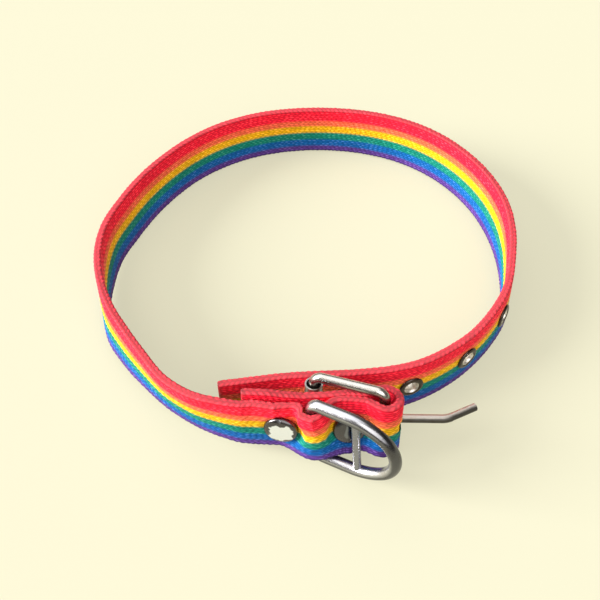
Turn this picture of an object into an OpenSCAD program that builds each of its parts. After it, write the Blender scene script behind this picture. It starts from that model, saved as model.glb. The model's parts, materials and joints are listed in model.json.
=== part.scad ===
// Striped webbing collar with a roller pin buckle and a leash ring, laid in an open loop.
// One strap is folded round the buckle bar and riveted back on itself over the leash ring.
// Millimetres, +Z up, +Y to the back; the buckle lies at the front.

/* [Webbing] */
// Width of the webbing across the stripes
strap_width = 17; // [16:0.5:18]
// Thickness of one layer of webbing
strap_thick = 2.3; // [2.1:0.1:2.5]

/* [Loop] */
// Width of the loop between the middles of the webbing
loop_width = 117.6; // [108:0.2:128]
// How far the back of the loop lies behind its widest place
loop_back = 70.5; // [62:0.5:78]

/* [Buckle] */
// Wire of the buckle frame
frame_wire = 2.6; // [2.2:0.1:2.8]
// Frame depth between the two bar centres
frame_depth = 18.2; // [17.6:0.2:18.8]
// Outside diameter of the roller tube
roller_outer = 4.6; // [4.2:0.1:4.8]
// Sheet thickness of the roller tube
roller_sheet = 0.4; // [0.3:0.05:0.5]
// Wire of the prong
prong_wire = 2.2; // [1.8:0.1:2.4]
// Straight shank of the prong from the bar centre to its bend
prong_shank = 15; // [13:0.5:17]
// Bent tip of the prong
prong_tip = 7.5; // [6:0.5:9]
// Bend of the prong tip towards the strap
prong_bend = 28; // [15:1:32]

/* [Leash ring] */
// Wire of the leash ring
ring_wire = 3.2; // [2.8:0.1:3.4]
// Straight arms of the leash ring from the bar centre to its shoulders
ring_arm = 9.5; // [8.5:0.5:10.5]
// Bend radius of the ring's shoulders
ring_shoulder = 14; // [12.4:0.4:15.6]
// Rod welded across the leash ring
crossbar_wire = 2.1; // [1.8:0.1:2.4]
// Distance of the welded rod from the ring's bar
crossbar_reach = 11.5; // [11.3:0.1:11.7]
// Swing of the leash ring away from the strap
ring_swing = 28; // [22:1:40]

/* [Rivets] */
// Diameter of the rivet caps
cap_diameter = 8.8; // [8.2:0.2:9.2]
// Height of the domed rivet caps
cap_height = 1.7; // [1.4:0.1:1.9]
// Diameter of the rivet post
post_diameter = 3; // [2.6:0.1:3.4]

/* [Eyelets] */
// Outside diameter of the eyelet flange
eyelet_flange = 6.8; // [6.4:0.2:7.4]
// Clear hole through the eyelet
eyelet_hole = 3.2; // [2.9:0.1:3.5]
// Sheet thickness of the eyelet
eyelet_sheet = 0.4; // [0.3:0.05:0.5]

/* [Hidden] */
$fn = 64;

// Plan position of the middle of the object's own box, so that the origin falls there
middle = [2.4, 9.34];

// Clearances: running fit of a bar, open play of a soft layer, air over a webbing edge,
// air round the roller, air round the prong
run_fit = 0.06;
layer_play = 0.1;
edge_air = 0.5;
roller_air = 0.4;
prong_air = 0.3;
half_width = strap_width / 2;
half_thick = strap_thick / 2;

// Lap: the part where the folded end lies on the strap, by its place along X
fold_x = 21.1;
fold_end_x = -14.2;
lap_start_x = -14;
rivet_1_x = -3.7;
rivet_2_x = 12.4;
ring_x = 4;

// Lean of the lap along X: how far its foot is turned out
fold_lean = 17;
lap_lean_at = [[-24, -3], [-17, 4], [-12, 8], [-4, 9.5], [ring_x, 9], [9, 21],
    [13, 22], [17, 19], [fold_x, fold_lean]];
inner_lean_at = [[-12, 8], [-4, 9.5], [2, 13], [6, 15], [12, 21], [17, 19], [fold_x, fold_lean]];
lap_slope = 0.012;
lap_front = -40.2;
frame_lean = 13;
ring_lean = 8;
rivet_1_turn = 10;
rivet_2_turn = -8;

// Turn of the ring in the plane of the lap; the webbing over its bar goes with it
ring_tilt = 5;
lap_tilt_at = [[-8, 0], [ring_x, ring_tilt], [rivet_2_x, 0]];

// Wire half sizes and the heights that follow from the webbing width
frame_r = frame_wire / 2;
frame_half = half_width + edge_air + frame_r;
frame_bend = 2.2;
ring_r = ring_wire / 2;
ring_half = half_width + edge_air + ring_r;
ring_bend = 2;
prong_r = prong_wire / 2;
prong_side = 1;
prong_curl = 5;
prong_out = 22;
prong_in = 28;
eye_height = 0.8 * prong_wire;
eye_r = frame_r + run_fit;
eye_outer = frame_r + 1.2;
roller_r = roller_outer / 2;
roller_half = frame_half - frame_bend - roller_air;
crossbar_r = crossbar_wire / 2;

// Layers in the lap, measured from the plane between them
layer_v = layer_play + half_thick;
fold_r = eye_outer + run_fit + half_thick;
ring_v = -3.1;
bulge = -ring_v + ring_r - layer_play + half_thick - layer_v;
bulge_left = 9.5;
bulge_right = 8;

// The roller lies on the folded end, so the frame's fold follows from the layers there
lap_twist = roller_half * abs(sin(frame_lean) - sin(lookup(fold_x - frame_depth, inner_lean_at)));
roller_v = layer_v + half_thick + lap_slope * frame_depth + lap_twist + roller_r + roller_air;
frame_fold = asin(roller_v / frame_depth);

// Height of the lap: the frame's low corner stands on the floor
lap_z = frame_r + frame_half * cos(frame_lean)
    + (frame_depth - frame_bend) * sin(frame_fold) * sin(frame_lean);

// Bow of the leash ring: two wide shoulders and a round end between them
shoulder_turn = asin(0.6);
bow_r = (ring_half - ring_shoulder * (1 - cos(shoulder_turn))) / cos(shoulder_turn);
bow_x = ring_arm + (ring_shoulder - bow_r) * sin(shoulder_turn);
crossbar_half = ring_half
    - ring_shoulder * (1 - cos(asin((crossbar_reach - ring_arm) / ring_shoulder)));

// The tail passes behind the roller
tail_air = 2.5;
tail_y = lap_front - lap_slope * fold_x + roller_v + roller_r + tail_air;

// Rest of the strap: place in plan, lift of the lower edge, lean of the foot outwards
loop_route = [
    [-21, -39.7, 4, 2], [-27, -37.3, 3.6, -2], [-34, -32.5, 3.1, -2], [-40.5, -25.6, 2.5, 3],
    [-46.5, -17.9, 2, 6], [-51.6, -9.4, 1.4, 5], [-54.8, 0, 0.9, -1], [-56, 10, 0.5, -6],
    [-55.3, 20, 0.3, -8], [-52.6, 29.8, 0, -9], [-48.2, 38.8, 0, -9], [-42.6, 47.2, 0, -8],
    [-35.8, 54.9, 0, -7], [-27.7, 61.3, 0, -7], [-18.4, 66.1, 0, -6], [-8.5, 69.1, 0, -5],
    [2, 70.5, 0, -4], [12.8, 70.4, 0, -4], [23.4, 68.7, 0, -5], [33.8, 65, 0, -6],
    [43.1, 59.1, 0, -7], [50.9, 51.1, 0, -7], [56.8, 41.5, 0, -7], [60.3, 31.1, 0, -6],
    [61.4, 20.5, 0, -2], [60.5, 9.8, 0, 3], [58.1, -0.5, 0, 6], [53.1, -9, 0, 5],
    [46.7, -16.4, 0, 4], [39.4, -22.1, 0, 5], [31.9, -26.2, 0, 6], [24, tail_y + 1.6, 0, 8],
    [15, tail_y + 0.3, 0, 9], [6, tail_y - 0.3, 0, 9], [-3, tail_y - 1, 0, 9],
    [-12, tail_y - 2.1, 0, 7], [-20.5, tail_y - 3.1, 0, 5]];
loop_steps = 4;

// Eyelets, by their place on the loop route counted in route points
eyelet_at = [26.45, 28.3, 30.35];

function unit(v) = v / norm(v);
function turned(p, a) = [p[0] * cos(a) - p[1] * sin(a), p[0] * sin(a) + p[1] * cos(a)];
function smooth(s) = s <= 0 ? 0 : s >= 1 ? 1 : s * s * (3 - 2 * s);
function bump(s) = abs(s) >= 1 ? 0 : (1 + cos(180 * s)) / 2;

// Lap frame at a place along X: mid height, with its lean
function lap_lean(x) = lookup(x, lap_lean_at);
function lap_y(x) = lap_front - lap_slope * x;
function lap_up(x) =
    let (a = lap_lean(x), t = lookup(x, lap_tilt_at)) [-sin(t), cos(t) * sin(a), cos(t) * cos(a)];
function lap_side(x) = [0, cos(lap_lean(x)), -sin(lap_lean(x))];
function lap_point(x, v) = [x, lap_y(x), lap_z] + v * lap_side(x);
function lap_station(x, v) = [lap_point(x, v), lap_up(x)];

// Side offset of the outer layer: over the ring's bar, pinched by the rivets, round the fold
function outer_v(x) =
    -layer_v
    - bulge * bump((x - ring_x) / (x < ring_x ? bulge_left : bulge_right))
    - (fold_r - layer_v) * smooth((x - 16) / (fold_x - 16));
function inner_station(x, v) =
    let (a = lookup(x, inner_lean_at))
    [[x, lap_y(x), lap_z] + v * [0, cos(a), -sin(a)], [0, sin(a), cos(a)]];
function inner_v(x) = layer_v + (fold_r - layer_v) * smooth((x - 16) / (fold_x - 16));

// Stations of the lap, from the free end round the fold to where the loop begins
lap_stations = concat(
    [for (x = [fold_end_x : 1.6 : fold_x - 0.4]) inner_station(x, inner_v(x))],
    [for (a = [90 : -15 : -90])
        [lap_point(fold_x, fold_r * sin(a)) + [fold_r * cos(a), 0, 0], lap_up(fold_x)]],
    [for (x = [fold_x - 1.2 : -1.2 : lap_start_x + 1]) lap_station(x, outer_v(x))]);

// Stations of the loop at its route points
loop_last = len(loop_route) - 1;
function route_xy(i) =
    let (p = loop_route[i])
    [p[0] * loop_width / 117.6, p[1] < 0 ? p[1] : p[1] * loop_back / 70.5];
function route_in(i) =
    let (d = unit(route_xy(min(i + 1, loop_last)) - route_xy(max(i - 1, 0))))
    [d[1], -d[0], 0];
function route_up(i) = cos(loop_route[i][3]) * [0, 0, 1] + sin(loop_route[i][3]) * route_in(i);
function route_mid(i) =
    let (lean = loop_route[i][3])
    [route_xy(i)[0], route_xy(i)[1],
        loop_route[i][2] + half_width * cos(lean) + half_thick * abs(sin(lean))];
loop_knots = concat(
    [lap_station(-8, outer_v(-8)), lap_station(lap_start_x, -layer_v)],
    [for (i = [0 : loop_last]) [route_mid(i), route_up(i)]],
    [[2 * route_mid(loop_last) - route_mid(loop_last - 1), route_up(loop_last)]]);

// Smooth curve through the knots; place 0 is the first route point
function curve(a, b, c, d, s) =
    (2 * b + (c - a) * s + (2 * a - 5 * b + 4 * c - d) * s * s
        + (3 * b - a - 3 * c + d) * s * s * s) / 2;
function knot_curve(p, k) =
    let (i = min(floor(p) + 2, len(loop_knots) - 3), s = p + 2 - i)
    curve(loop_knots[i - 1][k], loop_knots[i][k], loop_knots[i + 1][k], loop_knots[i + 2][k], s);
function loop_mid(p) = knot_curve(p, 0);
function loop_up(p) = unit(knot_curve(p, 1));
loop_stations = [for (j = [-loop_steps : loop_last * loop_steps])
    [loop_mid(j / loop_steps), loop_up(j / loop_steps)]];

// The webbing as a row of cross-sections, four corners each
stations = concat(lap_stations, loop_stations);
last = len(stations) - 1;
function station_side(i) =
    unit(cross(stations[min(i + 1, last)][0] - stations[max(i - 1, 0)][0], stations[i][1]));
function station_corners(i) =
    let (m = stations[i][0], u = half_width * stations[i][1], n = half_thick * station_side(i))
    [m + u + n, m + u - n, m - u - n, m - u + n];
strap_points = [for (i = [0 : last]) each station_corners(i)];
strap_faces = concat(
    [[0, 1, 2, 3]],
    [for (i = [0 : last - 1]) for (k = [0 : 3])
        let (a = 4 * i + k, b = 4 * i + (k + 1) % 4) each [[a, a + 4, b], [b, a + 4, b + 4]]],
    [[4 * last + 3, 4 * last + 2, 4 * last + 1, 4 * last]]);

// Whole object to its own origin
module centred() {
    translate([-middle[0], -middle[1], 0])
    children();
}

// Frame of the lap at one place: X along the strap, Y across its layers, Z up its width
module on_lap(x) {
    centred()
    translate(lap_point(x, 0))
    rotate([-lap_lean(x), 0, 0])
    children();
}

module on_ring_bar() {
    centred()
    translate(lap_point(ring_x, ring_v))
    rotate([-ring_lean, 0, 0])
    rotate([0, -ring_tilt, 0])
    children();
}

// Frame of the buckle's bar, which stands a little off the line of the fold
module on_frame_bar() {
    centred()
    translate(lap_point(fold_x, 0))
    rotate([-frame_lean, 0, 0])
    children();
}

// Frame of an eyelet: Z out of the loop, along the bore
module on_eyelet(k) {
    p = eyelet_at[k - 1];
    t = unit(loop_mid(p + 0.1) - loop_mid(p - 0.1));
    n = unit(cross(t, loop_up(p)));
    u = cross(n, t);
    m = loop_mid(p);
    centred()
    multmatrix([
        [t[0], -u[0], -n[0], m[0]],
        [t[1], -u[1], -n[1], m[1]],
        [t[2], -u[2], -n[2], m[2]],
        [0, 0, 0, 1]])
    children();
}

// Rivet frame: Z out of the lap, zero between the two layers
module on_rivet_1() {
    on_lap(rivet_1_x)
    rotate([0, 0, -rivet_1_turn])
    rotate([90, 0, 0])
    children();
}

module on_rivet_2() {
    on_lap(rivet_2_x)
    rotate([0, 0, -rivet_2_turn])
    rotate([90, 0, 0])
    children();
}

// Part of a bent wire in the XY plane, about the origin
module wire_bend(bend_r, wire_r, from, to) {
    rotate([0, 0, from])
    rotate_extrude(angle = to - from)
    translate([bend_r, 0])
    circle(r = wire_r);
}

// Straight wire between two points of the XY plane
module wire_run(a, b, wire_r) {
    translate([a[0], a[1], 0])
    rotate([0, 0, atan2(b[1] - a[1], b[0] - a[0])])
    rotate([0, 90, 0])
    cylinder(r = wire_r, h = norm(b - a));
}

// Places of the rivet faces along the rivet axis
rivet_1_outer = layer_v + half_thick + 0.55;
rivet_1_inner = layer_v + half_thick - 0.1;
rivet_2_outer = layer_v + half_thick + 0.3;
rivet_2_inner = layer_v + half_thick - 0.1;
post_r = post_diameter / 2;
cap_r = cap_diameter / 2;
base_height = 0.9;
post_fit = 0.02;

// Room for a rivet: post hole and the two pressed seats
module rivet_room(outer, inner) {
    translate([0, 0, -inner - 2])
    cylinder(r = post_r + post_fit, h = inner + outer + 4);
    translate([0, 0, outer])
    cylinder(r = cap_r + 0.1, h = 4);
    translate([0, 0, -inner - 4])
    cylinder(r = cap_r + 0.1, h = 4);
}

// Domed cap over a flat base, by its radius and height
module dome(r, h) {
    rim = 0.35;
    crown = h - rim;
    ball_r = (r * r + crown * crown) / (2 * crown);
    cylinder(r = r, h = rim);
    translate([0, 0, rim])
    intersection() {
        translate([0, 0, crown - ball_r])
        sphere(r = ball_r);
        cylinder(r = r, h = h);
    }
}

module rivet_stem(outer, inner) {
    translate([0, 0, -inner])
    rotate([180, 0, 0])
    dome(cap_r - 0.2, base_height);
    translate([0, 0, -inner])
    cylinder(r = post_r, h = inner + outer + 0.8);
}

module rivet_cap(outer) {
    difference() {
        translate([0, 0, outer])
        dome(cap_r, cap_height);
        translate([0, 0, outer - 1])
        cylinder(r = post_r + post_fit, h = 1.85);
    }
}

// Eyelet numbers: barrel, flange and rolled lip
barrel_r = eyelet_hole / 2 + eyelet_sheet;
flange_r = eyelet_flange / 2;
flange_height = 0.75;
washer_thick = 0.4;
lip_height = 0.5;
lip_r = barrel_r + 0.55;

// Room for an eyelet: barrel hole and flat seats on both faces of the webbing
module eyelet_room() {
    translate([0, 0, -half_thick - 2])
    cylinder(r = barrel_r + post_fit, h = strap_thick + 4);
    translate([0, 0, half_thick - 0.1])
    cylinder(r = flange_r + 0.1, h = 2);
    translate([0, 0, -half_thick + 0.1 - 2])
    cylinder(r = flange_r + 0.1, h = 2);
}

module eyelet_body() {
    seat = half_thick - 0.1;
    hole_r = eyelet_hole / 2;
    foot = -seat - washer_thick - lip_height;
    rotate_extrude()
    polygon([
        [hole_r, foot], [lip_r, foot], [lip_r, foot + lip_height], [barrel_r, foot + lip_height],
        [barrel_r, seat], [flange_r, seat], [flange_r, seat + 0.3],
        [flange_r - 0.45, seat + flange_height], [hole_r + 0.5, seat + flange_height],
        [hole_r, seat + 0.3]]);
}

module eyelet_ring() {
    seat = half_thick - 0.1;
    translate([0, 0, -seat - washer_thick])
    difference() {
        cylinder(r = flange_r - 0.2, h = washer_thick);
        translate([0, 0, -1])
        cylinder(r = barrel_r + post_fit, h = washer_thick + 2);
    }
}

// Flat webbing strap with red, coral, yellow, green, blue and purple stripes, one piece
module webbing_strap() {
    color("crimson")
    difference() {
        centred()
        polyhedron(strap_points, strap_faces, 10);
        on_frame_bar()
        cylinder(r = frame_r + run_fit, h = 2 * strap_width, center = true);
        on_frame_bar()
        prong_room();
        on_ring_bar()
        cylinder(r = ring_r + run_fit, h = 2 * strap_width, center = true);
        on_rivet_1()
        rivet_room(rivet_1_outer, rivet_1_inner);
        on_rivet_2()
        rivet_room(rivet_2_outer, rivet_2_inner);
        for (k = [1 : len(eyelet_at)]) {
            on_eyelet(k)
            eyelet_room();
        }
    }
}

// Pocket inside the fold for the prong's eye, and the slot its shank swings in
module prong_room() {
    room = prong_wire + 2 * prong_air;
    out = prong_side - prong_r - prong_air;
    in = prong_side + prong_r + prong_air;
    reach = fold_r + strap_thick;
    cylinder(r = eye_outer + run_fit, h = room, center = true);
    linear_extrude(room, center = true)
    polygon([
        turned([0, out], -prong_out), turned([reach, out], -prong_out), [1.4 * reach, prong_side],
        turned([reach, in], prong_in), turned([0, in], prong_in)]);
}

// Bent wire buckle frame, hinged in the fold and laid back inside the loop
module buckle_frame() {
    far = frame_depth;
    run = frame_half - frame_bend;
    color("silver")
    on_frame_bar()
    rotate([0, 0, 180 - frame_fold])
    rotate([90, 0, 0]) {
        wire_run([0, -run], [0, run], frame_r);
        wire_run([far, -run], [far, run], frame_r);
        for (s = [-1, 1]) {
            wire_run([frame_bend, s * frame_half], [far - frame_bend, s * frame_half], frame_r);
            translate([frame_bend, s * run, 0])
            wire_bend(frame_bend, frame_r, s > 0 ? 90 : 180, s > 0 ? 180 : 270);
            translate([far - frame_bend, s * run, 0])
            wire_bend(frame_bend, frame_r, s > 0 ? 0 : 270, s > 0 ? 90 : 360);
        }
    }
}

// Sheet roller tube, loose on the far bar of the frame
module buckle_roller() {
    color("gainsboro")
    on_frame_bar()
    rotate([0, 0, 180 - frame_fold])
    translate([frame_depth, 0, 0])
    difference() {
        cylinder(r = roller_r, h = 2 * roller_half, center = true);
        cylinder(r = roller_r - roller_sheet, h = 2 * roller_half + 2, center = true);
    }
}

// Prong: flattened eye round the frame's bar, straight shank, bent tip with a blunt end
module buckle_prong() {
    color("darkgray")
    on_frame_bar()
    difference() {
        union() {
            cylinder(r = eye_outer, h = eye_height, center = true);
            translate([0, prong_side, 0]) {
                wire_run([eye_r + 0.3, 0], [prong_shank, 0], prong_r);
                translate([prong_shank, prong_curl, 0]) {
                    wire_bend(prong_curl, prong_r, 270, 270 + prong_bend);
                    rotate([0, 0, prong_bend])
                    wire_run([-0.6, -prong_curl], [prong_tip, -prong_curl], 0.95 * prong_r);
                }
            }
        }
        cylinder(r = eye_r, h = 4 * prong_wire, center = true);
    }
}

// Leash ring of round wire: straight bar between the layers, two arms and the bow
module leash_ring() {
    color("silver")
    on_ring_bar()
    rotate([0, 0, -ring_swing])
    rotate([90, 0, 0])
    leash_ring_wire();
}

module leash_ring_wire() {
    run = ring_half - ring_bend;
    wire_run([0, -run], [0, run], ring_r);
    for (s = [-1, 1]) {
        translate([ring_bend, s * run, 0])
        wire_bend(ring_bend, ring_r, s > 0 ? 90 : 180, s > 0 ? 180 : 270);
        wire_run([ring_bend, s * ring_half], [ring_arm, s * ring_half], ring_r);
        ring_side(s);
    }
    translate([bow_x, 0, 0])
    wire_bend(bow_r, ring_r, shoulder_turn - 90, 90 - shoulder_turn);
}

module ring_side(s) {
    translate([ring_arm, s * (ring_half - ring_shoulder), 0])
    wire_bend(ring_shoulder, ring_r, s > 0 ? 90 - shoulder_turn : 270, s > 0 ? 90 : 270 + shoulder_turn);
}

// Rod welded between the arms of the leash ring, in front of the strap
module leash_ring_crossbar() {
    color("gray")
    on_ring_bar()
    rotate([0, 0, -ring_swing])
    rotate([90, 0, 0])
    difference() {
        wire_run([crossbar_reach, -crossbar_half], [crossbar_reach, crossbar_half], crossbar_r);
        for (s = [-1, 1]) {
            ring_side(s);
        }
    }
}

module rivet_1_stem() {
    color("dimgray")
    on_rivet_1()
    rivet_stem(rivet_1_outer, rivet_1_inner);
}

module rivet_1_cap() {
    color("lightgray")
    on_rivet_1()
    rivet_cap(rivet_1_outer);
}

module rivet_2_stem() {
    color("dimgray")
    on_rivet_2()
    rivet_stem(rivet_2_outer, rivet_2_inner);
}

module rivet_2_cap() {
    color("lightgray")
    on_rivet_2()
    rivet_cap(rivet_2_outer);
}

module eyelet(k) {
    color("gainsboro")
    on_eyelet(k)
    eyelet_body();
}

module eyelet_washer(k) {
    color("darkgray")
    on_eyelet(k)
    eyelet_ring();
}

webbing_strap();
buckle_frame();
buckle_roller();
buckle_prong();
leash_ring();
leash_ring_crossbar();
rivet_1_stem();
rivet_1_cap();
rivet_2_stem();
rivet_2_cap();
eyelet(1);  // eyelet_1
eyelet_washer(1);  // eyelet_1_washer
eyelet(2);  // eyelet_2
eyelet_washer(2);  // eyelet_2_washer
eyelet(3);  // eyelet_3
eyelet_washer(3);  // eyelet_3_washer
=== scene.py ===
import json
import math

import bpy
import numpy as np
from mathutils import Matrix, Vector


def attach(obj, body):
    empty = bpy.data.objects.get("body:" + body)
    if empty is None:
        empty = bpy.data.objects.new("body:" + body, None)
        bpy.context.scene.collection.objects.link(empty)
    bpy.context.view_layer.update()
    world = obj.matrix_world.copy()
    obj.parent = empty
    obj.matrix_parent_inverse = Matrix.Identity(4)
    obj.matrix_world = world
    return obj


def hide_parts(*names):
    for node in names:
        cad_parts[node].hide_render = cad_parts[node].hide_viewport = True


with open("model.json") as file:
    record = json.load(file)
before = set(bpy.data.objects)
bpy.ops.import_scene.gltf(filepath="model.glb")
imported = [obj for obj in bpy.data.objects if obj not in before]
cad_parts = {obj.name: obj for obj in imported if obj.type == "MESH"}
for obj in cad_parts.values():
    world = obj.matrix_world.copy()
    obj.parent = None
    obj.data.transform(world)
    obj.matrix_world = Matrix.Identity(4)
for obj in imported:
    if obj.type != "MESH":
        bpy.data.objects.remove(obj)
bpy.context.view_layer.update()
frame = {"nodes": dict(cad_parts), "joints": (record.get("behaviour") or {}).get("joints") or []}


# Webbing strap: one narrow woven band of coloured polypropylene, about 450 mm long.
# The warp runs along it in fine ribs, each of one colour, and the weft turns back at the edges
# as chunky stitches. It is folded round the buckle bar and laid back on itself, ends melted.
MM = 0.001
# The plan of the loop is in mm, and the frame's origin has this place in it
middle = np.array([2.4, 9.34, 0.0])
hinge_at = {j["name"]: np.array(j["pos_m"]) / MM + middle for j in frame["joints"]}
hinge_way = {j["name"]: np.array(j["axis"]) for j in frame["joints"]}
fold_x, lap_z = hinge_at["buckle_frame_swing"][0], hinge_at["buckle_frame_swing"][2]
ring_x, ring_bar_r, frame_bar_r = hinge_at["leash_ring_swing"][0], 1.6, 1.3

half_width, half_thick = 8.5, 1.15
layer_air, eye_wall, fold_air = 0.1, 1.2, 0.06
layer_v = half_thick + layer_air
eye_outer = frame_bar_r + eye_wall
fold_r = eye_outer + half_thick + fold_air
bulge, bulge_left, bulge_right = 4.5, 9.5, 8.0
fold_end_x, lap_start_x, fold_swell_x = -14.2, -14.0, 16.0
lap_front, lap_slope = -40.2, 0.012
outer_lean = [-24, -17, -12, -4, ring_x, 9, 13, 17, fold_x], [-3, 4, 8, 9.5, 9, 21, 22, 19, 17]
outer_tilt = [-8, ring_x, 12.4], [0, 5, 0]
inner_lean = [-12, -4, 2, 6, 12, 17, fold_x], [8, 9.5, 13, 15, 21, 19, 17]
tail_y = -30.2759
# Place in plan, lift of the lower edge and lean of the foot outwards, from the lap round to the tail
loop_route = np.array([
    [-21, -39.7, 4, 2], [-27, -37.3, 3.6, -2], [-34, -32.5, 3.1, -2], [-40.5, -25.6, 2.5, 3],
    [-46.7, -18.1, 2, 7], [-52.3, -9.7, 1.4, 8], [-55.8, 0, 0.9, 3], [-57, 10, 0.5, -4],
    [-56.1, 20, 0.3, -7], [-52.6, 29.8, 0, -9], [-48.2, 38.8, 0, -9], [-42.6, 47.2, 0, -8],
    [-35.8, 54.9, 0, -7], [-27.7, 61.3, 0, -7], [-18.4, 66.1, 0, -6], [-8.5, 69.1, 0, -5],
    [2, 70.5, 0, -4], [12.8, 70.4, 0, -4], [23.4, 68.7, 0, -5], [33.8, 65, 0, -6],
    [43.1, 59.1, 0, -7], [50.9, 51.1, 0, -7], [56.8, 41.5, 0, -7], [60.3, 31.1, 0, -6],
    [61.4, 20.5, 0, -2], [60.5, 9.8, 0, 3], [58.1, -0.5, 0, 6], [53.1, -9, 0, 5],
    [46.7, -16.4, 0, 4], [39.4, -22.1, 0, 5], [31.9, -26.2, 0, 6], [24, tail_y + 1.6, 0, 8],
    [15, tail_y + 0.3, 0, 9], [6, tail_y - 0.3, 0, 9], [-3, tail_y - 1, 0, 9],
    [-12, tail_y - 2.1, 0, 7], [-20.5, tail_y - 3.1, 0, 5]], float)
# Places of the eyelets, counted in points of the route
eyelet_at = [26.45, 28.3, 30.35]


def smooth(s):
    """A soft step from 0 to 1."""
    s = np.clip(s, 0, 1)
    return s * s * (3 - 2 * s)


def unit(v):
    """Vectors brought to length 1."""
    return v / np.linalg.norm(v, axis=-1, keepdims=True)


def lap_axes(x, inner=False):
    """Middle, up and side directions of the lap's outer or inner layer at places along X."""
    lean = np.radians(np.interp(x, *(inner_lean if inner else outer_lean)))
    tilt = np.radians(0 * x if inner else np.interp(x, *outer_tilt))
    centre = np.stack([x, lap_front - lap_slope * x, 0 * lean + lap_z], -1)
    up = np.stack([-np.sin(tilt), np.cos(tilt) * np.sin(lean), np.cos(tilt) * np.cos(lean)], -1)
    return centre, up, np.stack([0 * lean, np.cos(lean), -np.sin(lean)], -1)


def lap_layer(x, v, inner=False):
    """Middle line and up directions of a layer that lies v inwards of the lap's middle."""
    centre, up, side = lap_axes(x, inner)
    return centre + np.asarray(v)[..., None] * side, up


def swell(x):
    """How far the layers part on their way to the fold."""
    return (fold_r - layer_v) * smooth((x - fold_swell_x) / (fold_x - fold_swell_x))


def outer_v(x):
    """Place of the outer layer, which humps over the ring's bar."""
    reach = (x - ring_x) / np.where(x < ring_x, bulge_left, bulge_right)
    hump = np.where(np.abs(reach) < 1, (1 + np.cos(np.pi * reach)) / 2, 0)
    return -layer_v - bulge * hump - swell(x)


def loop_knots():
    """The lap's last two places, the route points and one more beyond the tail's end."""
    plan = loop_route[:, :2]
    way = unit(np.vstack([plan[1] - plan[0], plan[2:] - plan[:-2], plan[-1] - plan[-2]]))
    inward = np.column_stack([way[:, 1], -way[:, 0], 0 * way[:, 0]])
    lean = np.radians(loop_route[:, 3:4])
    up = np.cos(lean) * np.array([0, 0, 1]) + np.sin(lean) * inward
    height = loop_route[:, 2:3] + half_width * np.cos(lean) + half_thick * np.abs(np.sin(lean))
    mid = np.hstack([plan, height])
    lap_x = np.array([-8, lap_start_x])
    lap_mid, lap_up = lap_layer(lap_x, np.array([outer_v(lap_x)[0], -layer_v]))
    return (np.vstack([lap_mid, mid, 2 * mid[-1] - mid[-2]]), np.vstack([lap_up, up, up[-1]]))


def loop_curve(knots, p):
    """Smooth curve through the knots; place 0 is the first route point."""
    i = np.minimum(np.floor(p).astype(int) + 2, len(knots) - 3)
    s = (p + 2 - i)[:, None]
    a, b, c, d = (knots[i + k] for k in (-1, 0, 1, 2))
    return (2 * b + (c - a) * s + (2 * a - 5 * b + 4 * c - d) * s**2 + (3 * b - a - 3 * c + d) * s**3) / 2


fine, turn_places, route_step, too_close = 0.1, 61, 1 / 50, 1e-3
inner_x = np.arange(fold_end_x, fold_x, fine)
outer_x = np.arange(fold_x, lap_start_x, -fine)
turn = np.radians(np.linspace(90, -90, turn_places))
bar_mid, bar_up, bar_side = (a[0] for a in lap_axes(np.array([fold_x])))
knot_mid, knot_up = loop_knots()
place = np.arange(-1, len(loop_route) - 1 + 1e-9, route_step)
runs = [
    lap_layer(inner_x, layer_v + swell(inner_x), True),
    (bar_mid + fold_r * (np.sin(turn)[:, None] * bar_side + np.cos(turn)[:, None] * np.array([1, 0, 0])),
     np.tile(bar_up, (len(turn), 1))),
    lap_layer(outer_x, outer_v(outer_x)),
    (loop_curve(knot_mid, place), unit(loop_curve(knot_up, place)))]
path_mid, path_up = (np.vstack([run[k] for run in runs]) for k in (0, 1))
steps = np.linalg.norm(np.diff(path_mid, axis=0), axis=1)
keep = np.r_[True, steps > too_close]
path_mid, path_up = path_mid[keep], path_up[keep]
path_s = np.r_[0, np.cumsum(np.linalg.norm(np.diff(path_mid, axis=0), axis=1))]
strap_length = path_s[-1]


def along(values, s):
    """Values of the path at lengths along it."""
    return np.column_stack([np.interp(s, path_s, column) for column in values.T])


row_step = 0.27
row_s = np.linspace(0, strap_length, int(strap_length / row_step) + 1)
row_mid = along(path_mid, row_s)
row_way = unit(np.gradient(row_mid, axis=0))
row_side = unit(np.cross(row_way, along(path_up, row_s)))
row_up = np.cross(row_side, row_way)

# Across the strap: ribs of warp on both faces, and an edge of weft stitches at top and bottom
ribs, face_half, body_half, edge_cells, rib_cells = 22, 7.7, 1.02, 10, 3
edge_out, edge_round, edge_ribs = 0.62, 0.7, 2.3
rib_width = 2 * face_half / ribs
face_cells = ribs * rib_cells
face_v = np.arange(face_cells + 1) / rib_cells
edge_turn = np.radians(np.linspace(90, -90, edge_cells + 1))
column_a = np.arange(face_cells + 1)
column_b = face_cells + edge_cells + (face_cells - np.arange(face_cells + 1))
columns = 2 * (face_cells + edge_cells)
across, offset, out_w, out_n, rib_v = (np.zeros(columns) for _ in range(5))
for column, sign in ((column_a, 1), (column_b, -1)):
    across[column], offset[column] = face_half - face_v * rib_width, sign * body_half
    out_n[column], rib_v[column] = sign, face_v
for first, sign in ((face_cells, -1), (2 * face_cells + edge_cells, 1)):
    turned = edge_turn * -sign
    for k, angle in enumerate(turned[:-1]):
        c = first + k
        across[c] = sign * (face_half + edge_out * math.cos(angle) ** edge_round)
        offset[c], out_w[c], out_n[c] = body_half * math.sin(angle), sign * math.cos(angle), math.sin(angle)
        wrap = (1 - abs(angle) / (math.pi / 2)) * edge_ribs
        rib_v[c] = ribs + wrap if sign < 0 else -wrap

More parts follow.
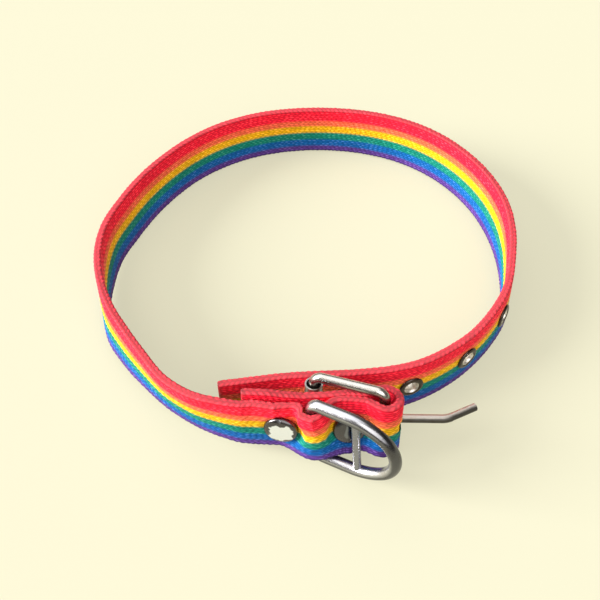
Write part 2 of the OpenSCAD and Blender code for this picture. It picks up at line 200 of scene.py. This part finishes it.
# The weave: each rib floats over two picks of weft and dips under the third, neighbours out of step
pick, beats, over, under_lift, float_round, back_start = 0.545, 3, 2.1, -0.5, 0.7, 1.4
float_lift, groove, groove_lift, squeeze = 0.07, 0.09, 0.02, 0.05
# Painted shading of the weave: shade painted into the grooves, light painted on the floats, and a painted glint
# on each float
groove_painted_shade, float_tone, float_painted_light, glint_gain = 0.06, 0.5, 0.26, 0.3
rng = np.random.default_rng(7)
# Picks of weft counted along the strap, beaten up a little unevenly
picks = row_s / pick + 0.3 * np.sin(row_s / 13) + 0.2 * np.sin(row_s / 5.3 + 1)


def rib_lift(start):
    """Height of each rib's yarn along the strap, -0.5 to 1, and a random glint for each float, which sets its
    painted highlight and varies its height a little.
    """
    rib = np.arange(ribs)
    step = picks[:, None] + start + beats / 2 * (rib % 2) + 0.3 * rib + 0.25 * rng.standard_normal(ribs)
    step = step + 0.6 * np.sin(row_s[:, None] / rng.uniform(3, 8, ribs) + rng.uniform(0, 6.28, ribs))
    beat = step % beats
    high = np.sin(np.pi * np.clip(beat / over, 0, 1)) ** float_round
    lift = np.where(beat < over, high, under_lift * np.sin(np.pi * (beat - over) / (beats - over)))
    count = np.floor(step / beats).astype(int)
    glint = rng.random((count.max() + 2, ribs))[count, rib]
    return lift * (0.85 + 0.3 * glint), glint


# Painted shading per point: grooves painted dark, floats painted lighter the higher they lift, with painted
# glints
height, shift, raised = (np.zeros((len(row_s), columns)) for _ in range(3))
for column, start in ((column_a, 0.0), (column_b, back_start)):
    lift, glint = (np.pad(part, ((0, 0), (1, 1)), mode="edge") for part in rib_lift(start))
    for j, c in enumerate(column):
        rib, part = divmod(j, rib_cells)
        if part == 0:
            pair = lift[:, rib], lift[:, rib + 1]
            height[:, c] = groove_lift * (pair[0] + pair[1]) - groove
            shift[:, c] = squeeze * (pair[1] - pair[0])
            raised[:, c] = groove_painted_shade
        else:
            height[:, c] = float_lift * lift[:, rib + 1]
            raised[:, c] = np.clip(float_tone + float_painted_light * lift[:, rib + 1]
                                   + glint_gain * (glint[:, rib + 1] - 0.5), 0, 1)
# Edge stitches: two rows of slanting loops, like a chain, each loop a little different
knot, slant, stitch_low, stitch_gain, edge_crown, edge_dip = 1.5, 0.6, 0.06, 0.12, 0.05, 0.07
knots = row_s / knot + 0.12 * np.sin(row_s / 7.0) + 0.2 * np.sin(row_s / 2.3 + 1)
for first in (face_cells, 2 * face_cells + edge_cells):
    loop_tone = rng.random((2, int(strap_length / knot) + 8))
    for k in range(1, edge_cells):
        row, part = divmod(2 * k / edge_cells, 1)
        at = knots + 0.5 * row + (part - 0.5) * (slant if row == 0 else -slant)
        stitch = 0.5 + 0.5 * np.cos(2 * np.pi * at)
        tone = loop_tone[int(row), np.floor(at + 1.5).astype(int)]
        crown = math.sin(math.pi * part) ** 0.7 if part else 0
        height[:, first + k] = ((stitch_low + stitch_gain * tone) * stitch * crown
                                + edge_crown * crown - edge_dip * (1 - crown))
        # The loops' crowns are painted light and the dips between them painted dark, each loop's brightness a
        # little different
        raised[:, first + k] = np.clip(0.9 * (0.3 + 0.7 * tone) * stitch * crown, 0, 1)

# Melted ends: the weave is flattened and the band thins out over the last stretch
melt_reach, melt_thin = 0.9, 0.45
end_gap = np.minimum(row_s, strap_length - row_s)
melted = 1 - smooth(end_gap / (2 * melt_reach))
thinned = 1 - melt_thin * (1 - np.sqrt(1 - (1 - np.clip(end_gap / melt_reach, 0, 1)) ** 2))
height *= (1 - melted)[:, None]

# Under the eyelet flanges the band is pressed flat
flange_r, flange_soft = 3.4, 0.8
eyelet_mid, eyelet_s = loop_curve(knot_mid, np.array(eyelet_at)), []
for mid in eyelet_mid:
    near = np.argmin(np.linalg.norm(row_mid - mid, axis=1))
    eyelet_s.append(row_s[near] + float(np.dot(mid - row_mid[near], row_way[near])))
for s in eyelet_s:
    away = np.hypot(row_s[:, None] - s, across[None, :])
    press = 1 - smooth((away - flange_r) / flange_soft)
    height = height * (1 - press) + np.minimum(height, 0.0) * press

w = across[None, :] + shift
n = offset[None, :] * thinned[:, None]
points = (row_mid[:, None, :]
          + (w + out_w * height)[..., None] * row_up[:, None, :]
          + (n + out_n * height)[..., None] * row_side[:, None, :])


def rivet_axes(x, twist):
    """A rivet's place in the lap, its up direction and the direction that its cap faces."""
    centre, up, side = (a[0] for a in lap_axes(np.array([x])))
    twist = math.radians(twist)
    return centre, up, -(math.sin(twist) * np.array([1, 0, 0]) + math.cos(twist) * side)


# Rivet caps draw the outer layer down round them, and a low lip of webbing rises beyond their rims
fold_s = path_s[len(inner_x)]
lap_from, lap_to = 8, 60
lap_rows = (row_s > fold_s + lap_from) & (row_s < fold_s + lap_to)
rivets = {"rivet_1": (-3.7, 10.0, 2.95), "rivet_2": (12.4, -8.0, 2.7)}
cap_r, cap_sink, skirt_air, skirt = 4.4, 0.03, 0.1, 2.2
lip, lip_out, lip_wide, lip_deep = 0.22, 1.0, 0.7, 2
for x, twist, seat in rivets.values():
    centre, up, out = rivet_axes(x, twist)
    apart = points[np.ix_(lap_rows, column_b)] - (centre + seat * out)
    rise = apart @ out
    away = np.linalg.norm(apart - rise[..., None] * out, axis=-1)
    drop = np.maximum(rise + cap_sink, 0) * (1 - smooth((away - cap_r - skirt_air) / skirt))
    drop = drop - lip * np.exp(-(((away - cap_r - lip_out) / lip_wide) ** 2)) * (np.abs(rise) < lip_deep)
    for column in (column_a, column_b):
        block = points[np.ix_(lap_rows, column)]
        points[np.ix_(lap_rows, column)] = block - drop[..., None] * out

# Left of the ring's bar and well right of it the upper edges of the layers close up; at rivet 1 they gape
gap = np.where(lap_rows, -layer_v - outer_v(row_mid[:, 0]) - swell(row_mid[:, 0]), 0)
upper_close = np.interp(row_mid[:, 0], [-9, -6, -4, -1.8, -0.7, 0.5, ring_x + 2.6, ring_x + 6],
                        [0.85, 0, 0.3, 0.95, 0.7, 0, 0, 0.85])
upper_gape = np.interp(row_mid[:, 0], [-11, -6, -2], [0.1, 1.0, 0])
shut = np.where(lap_rows, gap * upper_close - upper_gape, 0)
points += (shut[:, None] * smooth((across + 1) / 8))[..., None] * row_side[:, None, :]

# The folded end's corner springs up and away from the layer in front of it
stand = np.interp(row_mid[:, 0], [-14, -8, -3, 1, 8, 12], [1.3, 1.0, 0.1, -0.5, -0.2, 0])
points += np.where(row_s < fold_s, stand, 0)[:, None, None] * row_up[:, None, :]

# Between the ring and the fold the lower edge is pushed outwards
flare, flare_x, flare_reach = 1.2, 11.5, 7.5
x_off = np.abs((row_mid[:, 0] - flare_x) / flare_reach)
belly = np.where(lap_rows, (1 + np.cos(np.pi * np.minimum(x_off, 1))) / 2, 0)
points -= (flare * belly[:, None] * smooth((-2 - across) / 6))[..., None] * row_side[:, None, :]


def push_off(bar, way, reach, half_long):
    """Moves the band's points off a round bar that runs through it."""
    apart = points - bar
    run = apart @ way
    radial = apart - run[..., None] * way
    far = np.linalg.norm(radial, axis=-1)
    inside = (far < reach) & (np.abs(run) < half_long) & (far > 1e-6)
    points[inside] += (radial / far[..., None] * (reach - far)[..., None])[inside]


eye_air, eye_half_long, bar_air, bar_half_long = 0.05, 1.4, 0.1, 12
for hinge, clear_r, half_long in (("buckle_frame_swing", eye_outer + eye_air, eye_half_long),
                                  ("leash_ring_swing", ring_bar_r + bar_air, bar_half_long)):
    push_off(hinge_at[hinge], hinge_way[hinge], clear_r, half_long)

# Cells of the band that are cut through: round eyelet holes and the slot for the prong
cell_s = (row_s[1:] + row_s[:-1]) / 2
cell_w = (across[column_a][1:] + across[column_a][:-1]) / 2
cut = np.zeros((len(cell_s), face_cells), bool)
hole_r, slot_half, slot_lead, slot_turn = 2.15, 1.4, 0.6, math.radians(126)
for s in eyelet_s:
    cut |= np.hypot(cell_s[:, None] - s, cell_w[None, :]) < hole_r
slot_from, slot_to = fold_s - slot_lead, fold_s + fold_r * slot_turn
cut |= ((cell_s > slot_from) & (cell_s < slot_to))[:, None] & (np.abs(cell_w) < slot_half)[None, :]

rows = len(row_s)
index = np.arange(rows * columns).reshape(rows, columns)
quads = []
for c in range(columns):
    d = (c + 1) % columns
    strip = np.column_stack([index[:-1, c], index[:-1, d], index[1:, d], index[1:, c]])
    on_a, on_b = c < face_cells, face_cells + edge_cells <= c < 2 * face_cells + edge_cells
    if on_a:
        strip = strip[~cut[:, c]]
    elif on_b:
        strip = strip[~cut[:, 2 * face_cells + edge_cells - 1 - c]]
    quads.append(strip)
faces = [tuple(q) for q in np.vstack(quads)]
# Walls of the cuts, from one face of the band to the other
for i, j in zip(*np.nonzero(cut)):
    a, b = column_a, column_b
    for di, dj, ends in ((-1, 0, ((i, j), (i, j + 1))), (1, 0, ((i + 1, j + 1), (i + 1, j))),
                         (0, -1, ((i + 1, j), (i, j))), (0, 1, ((i, j + 1), (i + 1, j + 1)))):
        if not cut[i + di, j + dj]:
            (r0, c0), (r1, c1) = ends
            faces.append((index[r0, a[c0]], index[r0, b[c0]], index[r1, b[c1]], index[r1, a[c1]]))
# The two ends of the band
for r, flip in ((0, False), (rows - 1, True)):
    caps = [(index[r, column_a[j]], index[r, column_b[j]], index[r, column_b[j + 1]], index[r, column_a[j + 1]])
            for j in range(face_cells)]
    for first in (face_cells, 2 * face_cells + edge_cells):
        edge = [index[r, (first + k) % columns] for k in range(edge_cells + 1)]
        for k in range(edge_cells // 2):
            corners = edge[k], edge[edge_cells - k], edge[edge_cells - k - 1], edge[k + 1]
            caps.append(tuple(dict.fromkeys(corners)))
    faces += [tuple(reversed(cap)) if flip else cap for cap in caps]


def new_piece(name, places, faces, **layers):
    """A smoothly shaded mesh object from places in the plan, with a value per point in each named layer."""
    mesh = bpy.data.meshes.new(name)
    mesh.from_pydata(((places - middle) * MM).reshape(-1, 3).tolist(), [], faces)
    mesh.update()
    mesh.polygons.foreach_set("use_smooth", np.ones(len(mesh.polygons), bool))
    for layer_name, values in layers.items():
        layer = mesh.attributes.new(layer_name, "FLOAT", "POINT")
        layer.data.foreach_set("value", values.astype(np.float32).ravel())
    piece = bpy.data.objects.new(name, mesh)
    bpy.context.scene.collection.objects.link(piece)
    return piece


rainbow_webbing = new_piece("rainbow_webbing", points, faces, raised=raised,
                            melted=np.broadcast_to(melted[:, None], raised.shape))
strap_mesh = rainbow_webbing.data
weave_map = strap_mesh.uv_layers.new(name="weave")
corner = np.zeros(len(strap_mesh.loops), int)
strap_mesh.loops.foreach_get("vertex_index", corner)
weave = np.stack(np.broadcast_arrays(picks[:, None], rib_v[None, :]), -1).reshape(-1, 2)
weave_map.uv.foreach_set("vector", weave[corner].astype(np.float32).ravel())


class Link:
    """A socket in a material's nodes. Arithmetic on links adds Math nodes."""

    def __init__(self, tree, socket):
        self.tree, self.socket = tree, socket

    def node(self, kind, settings=None, inputs=None, out=0):
        """Adds a node: its settings first, a ramp's stops among them, then its inputs."""
        made = self.tree.nodes.new(kind)
        for name, value in (settings or {}).items():
            if name == "stops":
                ramp = made.color_ramp
                while len(ramp.elements) < len(value):
                    ramp.elements.new(0.5)
                for element, (position, colour) in zip(ramp.elements, value):
                    element.position, element.color = position, (*colour, 1)
            else:
                setattr(made, name, value)
        for name, value in (inputs or {}).items():
            if isinstance(value, Link):
                self.tree.links.new(value.socket, made.inputs[name])
            else:
                made.inputs[name].default_value = value
        return Link(self.tree, made.outputs[out])

    def math(self, operation, *values):
        return self.node("ShaderNodeMath", {"operation": operation}, dict(enumerate(values)))

    def __add__(self, other):
        return self.math("ADD", self, other)

    def __sub__(self, other):
        return self.math("SUBTRACT", self, other)

    def __rsub__(self, other):
        return self.math("SUBTRACT", other, self)

    def __mul__(self, other):
        return self.math("MULTIPLY", self, other)

    __radd__, __rmul__ = __add__, __mul__

    def clamp(self, low, high):
        return self.math("MAXIMUM", self.math("MINIMUM", self, high), low)

    def spread(self, low, high, to_low=0.0, to_high=1.0):
        """This value's span from low to high, laid out from to_low to to_high."""
        return self.node("ShaderNodeMapRange", {"clamp": True}, {
            "Value": self, "From Min": low, "From Max": high, "To Min": to_low, "To Max": to_high})

    def times(self, colour):
        """This colour multiplied by another colour or by a grey value."""
        return self.node("ShaderNodeMix", {"data_type": "RGBA", "blend_type": "MULTIPLY"}, {
            "Factor": 1.0, 6: self, 7: colour}, out=2)

    def towards(self, colour, factor):
        return self.node("ShaderNodeMix", {"data_type": "RGBA"}, {0: factor, 6: self, 7: colour}, out=2)

    def scaled(self, x, y, z):
        return self.node("ShaderNodeVectorMath", {"operation": "MULTIPLY"}, {0: self, 1: (x, y, z)})

    def noise(self, scale, detail=2.0, rough=0.5):
        return self.node("ShaderNodeTexNoise", None, {
            "Vector": self, "Scale": scale, "Detail": detail, "Roughness": rough})

    def bump(self, strength, distance, below=None):
        inputs = {"Height": self, "Strength": strength, "Distance": distance}
        if below:
            inputs["Normal"] = below
        return self.node("ShaderNodeBump", None, inputs)


def new_finish(name, **values):
    """A material with its shader's even values set; gives the material, its shader and a first link."""
    material = bpy.data.materials.new(name)
    material.use_nodes = True
    shader = material.node_tree.nodes["Principled BSDF"]
    for socket, value in values.items():
        shader.inputs[socket.replace("_", " ")].default_value = value
    return material, shader, Link(material.node_tree, None)


def feed(shader, **links):
    """Leads links into the shader's sockets of these names."""
    for socket, link in links.items():
        link.tree.links.new(link.socket, shader.inputs[socket.replace("_", " ")])


def linear(red, green, blue):
    """Screen colour, 0 to 255, as the linear values that the shader takes."""
    return tuple(((c / 255 + 0.055) / 1.055) ** 2.4 if c > 10 else c / 255 / 12.92 for c in (red, green, blue))


# First rib of each stripe and its colour; the ribs are counted from the top, the edges before and after them
first_rib, rib_span, stripe_blend = -5, 30, 0.6
stripes = [(first_rib, (250, 26, 56)), (5, (242, 102, 66)), (8, (238, 178, 6)), (11.7, (0, 126, 108)),
           (15.7, (0, 90, 164)), (19.6, (84, 52, 134))]


def webbing_finish():
    """Dyed yarn: striped by rib, with painted light on the floats, painted shade in the grooves, and a painted
    sheen on the edges, which are also darkened.
    """
    material, shader, start = new_finish("rainbow_webbing", Sheen_Weight=0.05, Sheen_Roughness=0.3,
                                         Specular_IOR_Level=0.15)
    weave = start.node("ShaderNodeUVMap", {"uv_map": "weave"})
    rib = start.node("ShaderNodeSeparateXYZ", None, {"Vector": weave}, out=1)
    raised = start.node("ShaderNodeAttribute", {"attribute_name": "raised"}, out=2)
    melted = start.node("ShaderNodeAttribute", {"attribute_name": "melted"}, out=2)
    stops = [((v - first_rib + blend) / rib_span, linear(*colour))
             for (_, before), (v, after) in zip(stripes, stripes[1:])
             for blend, colour in ((-stripe_blend, before), (stripe_blend, after))]
    stripe = start.node("ShaderNodeValToRGB", {"stops": stops}, {"Fac": (rib - first_rib) * (1 / rib_span)})
    strands = weave.scaled(0.55, 5.5, 1).noise(1.0, 3.0, 0.65)
    yarn = weave.scaled(0.04, 1.0, 1).noise(1.3, 1.0)
    faded = start.node("ShaderNodeTexCoord", out=3).noise(45.0, 2.0)
    # Painted shading from the weave, times the real streaks of the strands, the yarn's tint and the fading
    shade = raised.spread(0, 1, 0.46, 1.32) * strands.spread(0.25, 0.75, 0.85, 1.15)
    shade = shade * yarn.spread(0.3, 0.7, 0.9, 1.08) * faded.spread(0.3, 0.7, 0.94, 1.05)
    # The edges get a painted sheen and are darkened; the highest floats get a painted highlight
    painted_edge_sheen = rib.spread(-0.9, -0.1, 0.035, 0.0) + rib.spread(ribs + 0.1, ribs + 0.9, 0.0, 0.03)
    shade = shade * painted_edge_sheen.spread(0, 0.035, 1.0, 0.68)
    painted_sheen = raised.spread(0.6, 1, 0, 0.06) + painted_edge_sheen
    colour = stripe.times(shade.clamp(0.0, 1.6)).towards((1, 0.9, 0.9, 1), painted_sheen)
    colour = colour.towards((0.05, 0.03, 0.03, 1), melted * 0.45)
    rough = raised.spread(0, 1, 0.78, 0.5) + strands.spread(0.3, 0.7, -0.06, 0.06) - melted * 0.2
    feed(shader, Base_Color=colour, Roughness=rough, Normal=strands.bump(0.55, 0.00012))
    return material


strap_mesh.materials.append(webbing_finish())
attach(rainbow_webbing, "strap")
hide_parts("webbing_strap")


# Buckle frame: one length of round steel wire bent to a closed rectangle and nickel plated.
# Its near bar turns in the fold of the webbing; the wire shows fine drawing lines, its top painted bright and
# its underside painted darker, as light falls.
def nickel_finish(name, tone, rough, wave, scratch, tarnish, painted_light_from=(0, 0, 1), shaded=1.0, reach=(0, 0.75)):
    """Polished nickel: wavy, finely scratched, tarnished in patches. Painted light and shade: it keeps its full
    tone where it faces the given light direction, and is painted darker, down to the shaded share of it, away
    from there."""
    material, shader, start = new_finish(name, Metallic=1.0)
    place = start.node("ShaderNodeTexCoord", out=3)
    patches = place.noise(260.0, 3.0, 0.6)
    fine_lines = place.scaled(1.0, 1.0, 6.0).noise(900.0, 2.0, 0.6)
    ripple = place.noise(420.0, 1.0)
    dull = patches.spread(0.52, 0.74)
    bare = start.node("ShaderNodeRGB")
    bare.socket.default_value = (*tone, 1)
    colour = bare.towards((tone[0] * 0.62, tone[1] * 0.54, tone[2] * 0.46, 1), dull * tarnish)
    # Painted light and shade: darker where the surface faces away from the given light direction
    side = start.node("ShaderNodeVectorMath", {"operation": "DOT_PRODUCT"}, {
        0: start.node("ShaderNodeTexCoord", out=1), 1: unit(np.array(painted_light_from, float)).tolist()}, out=1)
    colour = colour.times((side + patches.spread(0.3, 0.7, -0.05, 0.05)).spread(*reach, shaded, 1.0))
    feed(shader, Base_Color=colour,
         Roughness=fine_lines.spread(0.3, 0.7, rough * 0.9, rough * 1.15) + dull * 0.06,
         Normal=fine_lines.bump(scratch, 0.00002, ripple.bump(wave, 0.0002)))
    return material


def plate(node, material):
    """Gives a CAD node this material."""
    mesh = frame["nodes"][node].data
    mesh.materials.clear()
    mesh.materials.append(material)


plate("buckle_frame", nickel_finish(
    "frame_nickel", tone=(0.6, 0.58, 0.54), rough=0.25, wave=0.1, scratch=0.08, tarnish=0.6,
    painted_light_from=(-0.3, 0.2, 0.9), shaded=0.35))


# Buckle roller: thin nickel-plated sheet rolled to a tube, loose on the frame's far bar.
# It takes the rub of the strap, so its plating is scratched and dull.
plate("buckle_roller", nickel_finish(
    "roller_nickel", tone=(0.6, 0.58, 0.56), rough=0.28, wave=0.12, scratch=0.35, tarnish=0.7))


# Buckle prong: one plated steel wire, its end curled to an eye round the frame's near bar and its
# blunt tip bent up a little. The upper side is painted bright and the underside painted dark, as light falls.
plate("buckle_prong", nickel_finish(
    "prong_nickel", tone=(0.8, 0.74, 0.66), rough=0.45, wave=0.08, scratch=0.35, tarnish=0.5,
    painted_light_from=(-0.5, 0.45, 0.75), shaded=0.1, reach=(0.35, 0.85)))


# Leash ring: thick plated wire bent to a D, its bar held between the two layers of webbing.
# A thinner rod is welded across it in front of the strap. The wire is painted bright above and painted
# dark below, as light falls; the rod is dark all round.
plate("leash_ring", nickel_finish(
    "ring_nickel", tone=(0.6, 0.6, 0.64), rough=0.24, wave=0.1, scratch=0.08, tarnish=0.6,
    painted_light_from=(-0.7, 0.1, 0.7), shaded=0.17, reach=(0.3, 0.8)))
plate("leash_ring_crossbar", nickel_finish(
    "crossbar_nickel", tone=(0.26, 0.26, 0.3), rough=0.26, wave=0.1, scratch=0.1, tarnish=0.8))


# Rivets: a post with a flat base, and a cap of thin plated sheet pressed over its end.
# The caps have a flattened crown and a steep rim, with the dents that the setting tool leaves.
def cap_finish(rivet, crown, reflection_reach):
    """A painted reflection on nickel: bright on the crown, with a ragged edge to a painted dark rim."""
    material, shader, start = new_finish(f"{rivet}_nickel", Metallic=1.0)
    place = start.node("ShaderNodeTexCoord", out=3)
    to_rim = start.node("ShaderNodeAttribute", {"attribute_name": "to_rim"}, out=2)
    ragged = to_rim + place.noise(330.0, 2.0, 0.6).spread(0.3, 0.7, -0.22, 0.22)
    # Painted reflection: the crown bright, the rim painted dark beyond a ragged edge
    dark = ragged.spread(reflection_reach - 0.04, reflection_reach + 0.04)
    bright = start.node("ShaderNodeRGB")
    bright.socket.default_value = (crown * 0.86, crown * 0.9, crown, 1)
    colour = bright.towards((0.10, 0.095, 0.10, 1), dark)
    fine_lines = place.noise(1400.0, 2.0, 0.6)
    rough = dark.spread(0, 1, 0.1, 0.24) + fine_lines.spread(0.3, 0.7, -0.03, 0.05)
    feed(shader, Base_Color=colour, Roughness=rough, Normal=fine_lines.bump(0.2, 0.00002))
    return material


cap_height, cap_rim, cap_flat, cap_rings, cap_spokes, dents = 1.7, 0.35, 0.75, 22, 64, 7
# Painted reflections of the caps: how bright the crown is and how far its bright patch reaches; rivet 2's is
# painted dark
cap_painted_reflection = {"rivet_1": (1.0, 0.74), "rivet_2": (0.2, 0.4)}
for number, (rivet, (x, twist, seat)) in enumerate(rivets.items()):
    centre, up, out = rivet_axes(x, twist)
    level = unit(np.cross(up, out))
    blows = np.random.default_rng(20 + number)
    dent_at = 0.75 * cap_r * blows.uniform(-1, 1, (dents, 2))
    dent_deep, dent_wide = blows.uniform(0.03, 0.11, dents), blows.uniform(0.5, 1.1, dents)
    slope = np.radians(np.linspace(0, 90, cap_rings + 1))[:, None]
    spoke = np.linspace(0, 2 * np.pi, cap_spokes, endpoint=False)[None, :]
    radius = cap_r * np.sin(slope) ** cap_flat
    flat = np.stack([radius * np.cos(spoke), radius * np.sin(spoke)], -1)
    rise = cap_rim + (cap_height - cap_rim) * np.cos(slope) ** cap_flat + 0 * spoke
    away = np.linalg.norm(flat[:, :, None, :] - dent_at, axis=-1)
    rise = rise - (dent_deep * np.exp(-((away / dent_wide) ** 2))).sum(-1) * np.cos(slope)
    flat, rise = np.vstack([flat, flat[-1:], 0 * flat[-1:]]), np.vstack([rise, 0 * rise[-2:]])
    dome = (centre + seat * out + flat[..., :1] * level + flat[..., 1:] * np.cross(out, level)
            + rise[..., None] * out)
    ring_of = np.arange(dome.shape[0] * cap_spokes).reshape(dome.shape[0], cap_spokes)
    ring_of[0], ring_of[-1] = ring_of[0, 0], ring_of[-1, 0]
    shell = [tuple(dict.fromkeys((ring_of[i, j], ring_of[i + 1, j], ring_of[i + 1, (j + 1) % cap_spokes],
                                  ring_of[i, (j + 1) % cap_spokes])))
             for i in range(len(ring_of) - 1) for j in range(cap_spokes)]
    used = np.unique(ring_of)
    place_of = {old: new for new, old in enumerate(used)}
    cap = new_piece(f"{rivet}_dome", dome.reshape(-1, 3)[used],
                    [tuple(place_of[k] for k in face) for face in shell],
                    to_rim=np.linalg.norm(flat, axis=-1).ravel()[used] / cap_r)
    cap.data.materials.append(cap_finish(rivet, *cap_painted_reflection[rivet]))
    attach(cap, "strap")
    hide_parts(f"{rivet}_cap")
    plate(f"{rivet}_stem", nickel_finish(
        f"{rivet}_stem_nickel", tone=(0.6, 0.59, 0.58), rough=0.2, wave=0.1, scratch=0.3, tarnish=0.6))


# Eyelets: barrels of plated brass sheet with a domed rim, pushed through the tail from outside
# and rolled over flat washers on the inside. The rims are dark, and the throats carry a painted reflection that
# makes them bright.
def eyelet_finish():
    """Dark nickel, with a painted reflection that brightens the throat."""
    material, shader, start = new_finish("eyelet_nickel", Metallic=1.0)
    place = start.node("ShaderNodeTexCoord", out=3)
    patches = place.noise(700.0, 3.0, 0.6)
    fine_lines = place.noise(1800.0, 2.0, 0.6)
    throat = start.node("ShaderNodeAttribute", {"attribute_name": "throat"}, out=2)
    # Painted reflection: the throat painted bright, the rim left dark
    painted_throat_light = (throat + patches.spread(0.3, 0.7, -0.2, 0.2)).spread(0.4, 0.6)
    tarnish = start.node("ShaderNodeRGB")
    tarnish.socket.default_value = (0.062, 0.048, 0.042, 1)
    colour = tarnish.towards((0.72, 0.68, 0.62, 1), painted_throat_light).times(patches.spread(0.3, 0.7, 0.8, 1.2))
    rough = painted_throat_light.spread(0, 1, 0.26, 0.4) + fine_lines.spread(0.3, 0.7, -0.03, 0.06)
    feed(shader, Base_Color=colour, Roughness=rough, Normal=fine_lines.bump(0.2, 0.00002))
    return material


# Radius and height over the strap's outer face, from the rim's outer edge through the throat to the back
eyelet_profile = np.array([
    [3.3, -0.1], [3.4, 0.05], [3.36, 0.2], [3.2, 0.36], [2.95, 0.48], [2.65, 0.54], [2.35, 0.52], [2.1, 0.42],
    [1.9, 0.25], [1.76, 0.03], [1.67, -0.25], [1.62, -0.6], [1.6, -1.2], [1.6, -2.1], [1.6, -2.7], [1.7, -2.95],
    [2.0, -3.1], [2.35, -3.0], [2.55, -2.75], [2.5, -2.62], [2.0, -2.6], [2.0, -0.3], [2.3, -0.15]])
eyelet_nickel, eyelet_spokes, throat_r, throat_soft = eyelet_finish(), 48, 2.25, 0.4
washer_nickel = nickel_finish(
    "washer_nickel", tone=(0.3, 0.27, 0.24), rough=0.26, wave=0.15, scratch=0.3, tarnish=0.9)
loop_middle = np.array([0, 15, 0])
for number, (mid, at_s) in enumerate(zip(eyelet_mid, eyelet_s), 1):
    eyelet_row = np.argmin(np.abs(row_s - at_s))
    out, up = row_side[eyelet_row], row_up[eyelet_row]
    if out @ (mid - loop_middle) < 0:
        out = -out
    spoke = np.linspace(0, 2 * np.pi, eyelet_spokes, endpoint=False)[None, :, None]
    radius, rise = eyelet_profile[:, 0, None, None], eyelet_profile[:, 1, None, None] + half_thick
    rim = mid + rise * out + radius * (np.cos(spoke) * np.cross(up, out) + np.sin(spoke) * up)
    count = len(eyelet_profile)
    grid = np.arange(count * eyelet_spokes).reshape(count, eyelet_spokes)
    eyelet = new_piece(f"eyelet_{number}_rim", rim, [
        (grid[i, j], grid[i, j - 1], grid[(i + 1) % count, j - 1], grid[(i + 1) % count, j])
        for i in range(count) for j in range(eyelet_spokes)],
        throat=np.repeat(smooth((throat_r - eyelet_profile[:, 0]) / throat_soft), eyelet_spokes))
    eyelet.data.materials.append(eyelet_nickel)
    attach(eyelet, "strap")
    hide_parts(f"eyelet_{number}")
    plate(f"eyelet_{number}_washer", washer_nickel)


# Table: a plain pale cream sheet of matt board under the collar, without a pattern.
# It is lit from below as well, as a studio's light table is, so shadows stay faint and soft.
table_half, table_top = 3.0, -0.0001
corners = (-1, -1), (1, -1), (1, 1), (-1, 1)
table_mesh = bpy.data.meshes.new("cream_table")
table_mesh.from_pydata([(x * table_half, y * table_half, table_top) for x, y in corners], [], [(0, 1, 2, 3)])
table_mesh.materials.append(new_finish(
    "cream_table", Base_Color=(0.2, 0.194, 0.144, 1), Roughness=0.9, Specular_IOR_Level=0.1,
    Emission_Color=(0.974, 0.947, 0.701, 1), Emission_Strength=0.525)[0])
cream_table = bpy.data.objects.new("cream_table", table_mesh)
bpy.context.scene.collection.objects.link(cream_table)


# Light: a strong soft lamp low on the left, as from a window, and a weak wide one above the front.
# The room is bright overhead and a little behind, and dark in front, which draws the metal's edges.
for lamp_name, energy, spread, towards in (("left_window", 9.0, 30, (-0.91, -0.08, 0.40)),
                                           ("front_fill", 2.3, 60, (0.2, -0.62, 0.75))):
    lamp_data = bpy.data.lights.new(lamp_name, "SUN")
    lamp_data.energy, lamp_data.angle, lamp_data.color = energy, math.radians(spread), (1.0, 0.98, 0.95)
    lamp = bpy.data.objects.new(lamp_name, lamp_data)
    lamp.rotation_euler = Vector(towards).to_track_quat("Z", "Y").to_euler()
    bpy.context.scene.collection.objects.link(lamp)
world = bpy.data.worlds.new("studio")
world.use_nodes = True
sky = Link(world.node_tree, None)
facing = sky.node("ShaderNodeVectorMath", {"operation": "DOT_PRODUCT"}, {
    0: sky.node("ShaderNodeTexCoord"), 1: (-0.35, 0.35, 0.87)}, out=1)
dark_room = sky.node("ShaderNodeRGB")
dark_room.socket.default_value = (0.17, 0.155, 0.14, 1)
glow = dark_room.towards((1.8, 1.8, 1.8, 1), facing.spread(0.70, 0.9))
world.node_tree.links.new(glow.socket, world.node_tree.nodes["Background"].inputs["Color"])
bpy.context.scene.world = world
bpy.context.scene.view_settings.view_transform = "Standard"


# Camera: a normal lens, held by hand about 23 cm from the collar's middle, looking down on the
# front at 54 degrees and a trace off level.
image_width, focal_px, sensor = 600, 800, 36.0
look_at, rise, roll, distance = np.array([0.0, 0.0, 8.0]), math.radians(54), math.radians(0.7), 228.0
eye = look_at + distance * np.array([0, -math.cos(rise), math.sin(rise)])
ahead = unit(look_at - eye)
level = np.array([1.0, 0, 0])
over = np.cross(level, ahead)
right = math.cos(roll) * level + math.sin(roll) * over
above = math.cos(roll) * over - math.sin(roll) * level
camera_data = bpy.data.cameras.new("camera")
camera_data.sensor_width, camera_data.lens = sensor, sensor * focal_px / image_width
camera_data.clip_start = 0.01
camera = bpy.data.objects.new("camera", camera_data)
turned = np.column_stack([right, above, -ahead, (eye - middle) * MM])
camera.matrix_world = Matrix([*turned.tolist(), [0, 0, 0, 1]])
bpy.context.scene.collection.objects.link(camera)
bpy.context.scene.camera = camera
